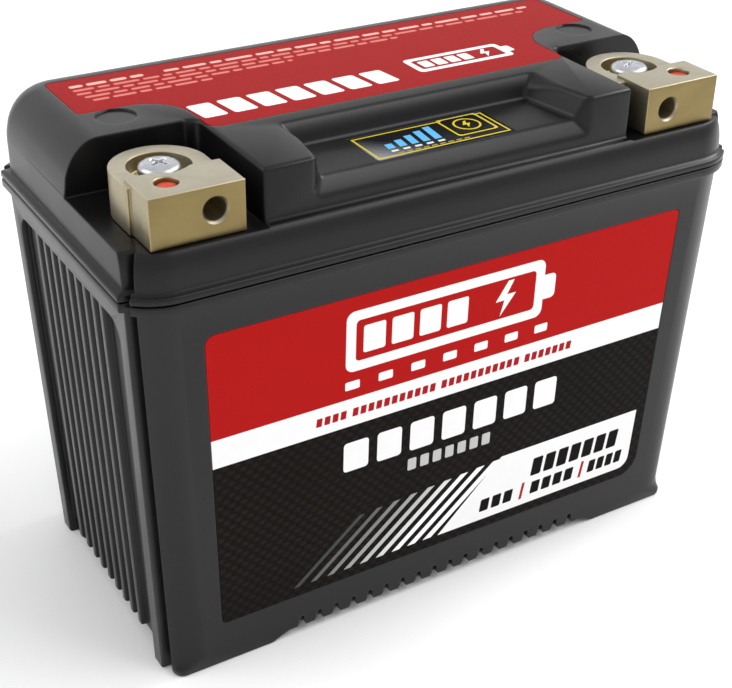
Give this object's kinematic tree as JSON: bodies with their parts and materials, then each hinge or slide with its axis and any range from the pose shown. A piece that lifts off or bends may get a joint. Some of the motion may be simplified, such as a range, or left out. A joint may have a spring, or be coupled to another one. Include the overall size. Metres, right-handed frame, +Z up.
{
  "type": "motorcycle battery",
  "caption": "Sealed 12 volt motorcycle battery: black case and lid, red labels, brass terminal blocks in corner pockets, and a charge indicator with a test key.",
  "frame": {"origin": "centre of the footprint at the level of the feet", "axes": "+Z up, +X along the long side towards the positive terminal, the labelled face towards -Y"},
  "size_m": [0.165, 0.086, 0.1273],
  "materials": {
    "case_plastic": "moulded black polypropylene, satin",
    "label_print": "printed film, satin",
    "overlay_print": "printed membrane film",
    "key_print": "printed membrane film",
    "display_face": "clear display face",
    "circuit_board": "lacquered board",
    "switch_plastic": "moulded",
    "cell_sleeve": "sleeved steel can",
    "holder_plastic": "moulded",
    "nickel_plate": "nickel plated strip",
    "brass": "cast and machined",
    "zinc_steel": "zinc plated",
    "copper": "rolled copper strip",
    "red_cap": "moulded",
    "foam": "closed cell foam",
    "wire_red": "insulated wire",
    "wire_black": "insulated wire"
  },
  "bodies": {
    "case": {"base_foam_pad": "foam", "board_screw_1": "zinc_steel", "board_screw_2": "zinc_steel", "board_screw_3": "zinc_steel", "board_screw_4": "zinc_steel", "cell_01": "cell_sleeve", "cell_02": "cell_sleeve", "cell_03": "cell_sleeve", "cell_04": "cell_sleeve", "cell_05": "cell_sleeve", "cell_06": "cell_sleeve", "cell_07": "cell_sleeve", "cell_08": "cell_sleeve", "cell_09": "cell_sleeve", "cell_10": "cell_sleeve", "cell_11": "cell_sleeve", "cell_12": "cell_sleeve", "charge_display": "display_face", "front_label": "label_print", "indicator_board": "circuit_board", "indicator_lead": "wire_black", "indicator_overlay": "overlay_print", "left_foam_pad": "foam", "lid": "case_plastic", "lower_case": "case_plastic", "lower_cell_holder": "holder_plastic", "management_board": "circuit_board", "negative_end_plate": "nickel_plate", "negative_spring_washer": "zinc_steel", "negative_strap": "copper", "negative_terminal_block": "brass", "negative_terminal_insert": "brass", "negative_terminal_screw": "zinc_steel", "negative_thread_cap": "red_cap", "positive_end_plate": "nickel_plate", "positive_spring_washer": "zinc_steel", "positive_strap": "copper", "positive_terminal_block": "brass", "positive_terminal_insert": "brass", "positive_terminal_screw": "zinc_steel", "positive_thread_cap": "red_cap", "right_foam_pad": "foam", "sense_wire_1": "wire_black", "sense_wire_2": "wire_red", "sense_wire_3": "wire_red", "sense_wire_4": "wire_red", "sense_wire_5": "wire_red", "series_link_1": "nickel_plate", "series_link_2": "nickel_plate", "series_link_3": "nickel_plate", "tact_switch_body": "switch_plastic", "top_foam_pad": "foam", "top_label": "label_print", "upper_cell_holder": "holder_plastic"},
    "key": {"test_button": "key_print"},
    "switch_plunger": {"tact_switch_plunger": "switch_plastic"}
  },
  "joints": [
    {"name": "key_press", "type": "slide", "parent": "case", "child": "key", "axis": [0, 0, -1], "range_m": [0, 0.0004], "stiffness_N_per_m": 2500},
    {"name": "plunger_press", "type": "slide", "parent": "case", "child": "switch_plunger", "axis": [0, 0, -1], "range_m": [0, 0.0004]}
  ],
  "couplings": [
    {"joint": "plunger_press", "follows": "key_press", "ratio": 1}
  ]
}
